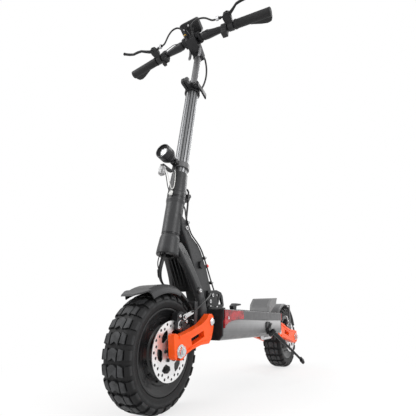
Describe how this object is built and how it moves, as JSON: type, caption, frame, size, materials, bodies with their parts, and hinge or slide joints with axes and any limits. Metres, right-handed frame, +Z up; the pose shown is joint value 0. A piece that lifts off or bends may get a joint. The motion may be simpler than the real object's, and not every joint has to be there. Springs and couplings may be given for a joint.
{
  "type": "electric kick scooter",
  "caption": "Folding electric kick scooter with two hub-motor wheels, sprung swing arms, a telescopic stem, folding half bars, disc brakes, lights and a side stand.",
  "frame": {"origin": "on the ground midway between the two axles, in the scooter's middle plane", "axes": "+Z up, -Y forward (front wheel), +X to the rider's left"},
  "size_m": [0.6282, 1.2625, 1.3138],
  "materials": {
    "deck_paint": "satin",
    "dark_paint": "satin powder coat",
    "light_grey_paint": "satin",
    "orange_paint": "satin powder coat",
    "stem_aluminium": "brushed anodised",
    "black_metal": "satin anodised",
    "steel": "ground",
    "bright_bolts": "plated",
    "motor_black": "painted black",
    "tyre_rubber": "matte",
    "rubber": "matte",
    "black_plastic": "fine texture",
    "grey_plastic": "fine texture",
    "red_lens": "moulded lens",
    "cell_pack": "shrink wrap"
  },
  "bodies": {
    "deck": {"deck_shell": "deck_paint", "deck_lid": "deck_paint", "grip_mat": "rubber", "end_plates": "dark_paint", "reflectors": "red_lens", "battery_pack": "cell_pack", "controller": "black_plastic", "rear_footrest": "light_grey_paint", "deck_hook": "steel", "neck_frame": "dark_paint", "head_bearings": "steel", "neck_bracket": "dark_paint", "deck_bolts": "bright_bolts", "kickstand_bracket": "black_metal", "neck_loom": "rubber"},
    "charge_cap": {"charge_cap": "rubber"},
    "kickstand": {"kickstand": "black_metal"},
    "steering": {"fork": "dark_paint", "hinge_base": "dark_paint", "front_loom": "rubber"},
    "front_arm": {"front_arms": "orange_paint", "front_axle_set": "bright_bolts", "front_fender": "grey_plastic", "front_caliper": "black_metal"},
    "front_brake_arm": {"front_caliper_arm": "steel"},
    "front_wheel": {"front_tyre": "tyre_rubber", "front_hub_motor": "motor_black", "front_disc": "steel"},
    "rear_arm": {"rear_arms": "orange_paint", "rear_axle_set": "bright_bolts", "rear_fender": "grey_plastic", "rear_caliper": "black_metal"},
    "rear_brake_arm": {"rear_caliper_arm": "steel"},
    "rear_wheel": {"rear_tyre": "tyre_rubber", "rear_hub_motor": "motor_black", "rear_disc": "steel"},
    "stem": {"stem_sleeve": "dark_paint", "stem_tube": "stem_aluminium", "collar_clamp": "black_metal", "headlight_bracket": "black_metal", "horn": "grey_plastic"},
    "collar_lever": {"collar_lever": "black_metal"},
    "headlight": {"headlight": "black_metal"},
    "post": {"post": "stem_aluminium", "bar_head": "black_metal", "display": "black_plastic", "cable_loop": "rubber", "brake_cables": "rubber"},
    "left_latch": {"latch_left": "black_metal"},
    "right_latch": {"latch_right": "black_metal"},
    "left_bar": {"half_bar_left": "black_metal", "grip_left": "rubber", "controls_left": "black_plastic"},
    "left_brake_lever": {"lever_left": "black_metal"},
    "horn_button": {"switch_button": "black_plastic"},
    "right_bar": {"half_bar_right": "black_metal", "grip_right": "rubber", "controls_right": "black_plastic"},
    "right_brake_lever": {"lever_right": "black_metal"},
    "throttle": {"throttle_lever": "black_plastic"}
  },
  "joints": [
    {"name": "steering_turn", "type": "hinge", "parent": "deck", "child": "steering", "pos_m": [0, -0.44828, 0.45], "axis": [0, 0.1444, 0.9895], "range_deg": [-40, 40], "deforming": ["neck_loom"]},
    {"name": "front_arm_swing", "type": "hinge", "parent": "steering", "child": "front_arm", "pos_m": [0, -0.343, 0.208], "axis": [-1, 0, 0], "range_deg": [0, 12], "stiffness_Nm_per_rad": 420, "springref_deg": -6.88, "deforming": ["neck_loom", "front_loom"]},
    {"name": "rear_arm_swing", "type": "hinge", "parent": "deck", "child": "rear_arm", "pos_m": [0, 0.25, 0.168], "axis": [1, 0, 0], "range_deg": [0, 7], "stiffness_Nm_per_rad": 620, "springref_deg": -5.73},
    {"name": "front_wheel_spin", "type": "hinge", "parent": "front_arm", "child": "front_wheel", "pos_m": [0, -0.487, 0.14], "axis": [1, 0, 0], "continuous": true},
    {"name": "rear_wheel_spin", "type": "hinge", "parent": "rear_arm", "child": "rear_wheel", "pos_m": [0, 0.487, 0.14], "axis": [1, 0, 0], "continuous": true},
    {"name": "front_brake_arm_pull", "type": "hinge", "parent": "front_arm", "child": "front_brake_arm", "pos_m": [0, -0.4534, 0.21916], "axis": [1, 0, 0], "range_deg": [0, 20], "stiffness_Nm_per_rad": 0.5, "springref_deg": -5.73, "deforming": ["neck_loom"]},
    {"name": "rear_brake_arm_pull", "type": "hinge", "parent": "rear_arm", "child": "rear_brake_arm", "pos_m": [0, 0.43288, 0.20683], "axis": [-1, 0, 0], "range_deg": [0, 20], "stiffness_Nm_per_rad": 0.5, "springref_deg": -5.73},
    {"name": "stem_fold", "type": "hinge", "parent": "steering", "child": "stem", "pos_m": [0, -0.39243, 0.58344], "axis": [-1, 0, 0], "range_deg": [0, 96], "deforming": ["neck_loom"]},
    {"name": "post_height", "type": "slide", "parent": "stem", "child": "post", "axis": [0, -0.1444, -0.9895], "range_m": [0, 0.137], "deforming": ["cable_loop"]},
    {"name": "collar_lever_turn", "type": "hinge", "parent": "stem", "child": "collar_lever", "pos_m": [0.033, -0.38776, 1.01721], "axis": [0, -0.1444, -0.9895], "range_deg": [0, 75]},
    {"name": "headlight_tilt", "type": "hinge", "parent": "stem", "child": "headlight", "pos_m": [0, -0.45451, 0.68436], "axis": [1, 0, 0], "range_deg": [-15, 15]},
    {"name": "left_bar_fold", "type": "hinge", "parent": "post", "child": "left_bar", "pos_m": [0.031, -0.37932, 1.24133], "axis": [0, 0.9895, -0.1444], "range_deg": [0, 65], "deforming": ["brake_cables"]},
    {"name": "right_bar_fold", "type": "hinge", "parent": "post", "child": "right_bar", "pos_m": [-0.031, -0.37932, 1.24133], "axis": [0, -0.9895, 0.1444], "range_deg": [0, 65], "deforming": ["brake_cables"]},
    {"name": "left_latch_turn", "type": "hinge", "parent": "post", "child": "left_latch", "pos_m": [0, -0.3586, 1.21709], "axis": [1, 0, 0], "range_deg": [0, 90]},
    {"name": "right_latch_turn", "type": "hinge", "parent": "post", "child": "right_latch", "pos_m": [0, -0.3586, 1.21709], "axis": [1, 0, 0], "range_deg": [0, 90]},
    {"name": "left_lever_pull", "type": "hinge", "parent": "left_bar", "child": "left_brake_lever", "pos_m": [0.16925, -0.41565, 1.2417], "axis": [0.0528, 0.2107, 0.9761], "range_deg": [0, 14], "stiffness_Nm_per_rad": 1.5, "springref_deg": -5.73},
    {"name": "right_lever_pull", "type": "hinge", "parent": "right_bar", "child": "right_brake_lever", "pos_m": [-0.16925, -0.41565, 1.2417], "axis": [0.0528, -0.2107, -0.9761], "range_deg": [0, 14], "stiffness_Nm_per_rad": 1.5, "springref_deg": -5.73},
    {"name": "throttle_push", "type": "hinge", "parent": "right_bar", "child": "throttle", "pos_m": [-0.14164, -0.37391, 1.23418], "axis": [-0.9967, 0.0487, -0.0645], "range_deg": [0, 50], "stiffness_Nm_per_rad": 0.15, "springref_deg": -5.73},
    {"name": "horn_button_press", "type": "slide", "parent": "left_bar", "child": "horn_button", "axis": [0.0488, -0.9988, 0], "range_m": [0, 0.0015], "stiffness_N_per_m": 400, "springref_m": -0.001},
    {"name": "charge_cap_turn", "type": "hinge", "parent": "deck", "child": "charge_cap", "pos_m": [0.03, -0.332, 0.375], "axis": [1, 0, 0], "range_deg": [0, 90]},
    {"name": "kickstand_turn", "type": "hinge", "parent": "deck", "child": "kickstand", "pos_m": [0.112, 0.066, 0.17], "axis": [0.8279, 0, 0.5609], "range_deg": [0, 49]}
  ],
  "couplings": [
    {"joint": "front_brake_arm_pull", "follows": "left_lever_pull", "ratio": 1.428},
    {"joint": "rear_brake_arm_pull", "follows": "right_lever_pull", "ratio": 1.428}
  ]
}
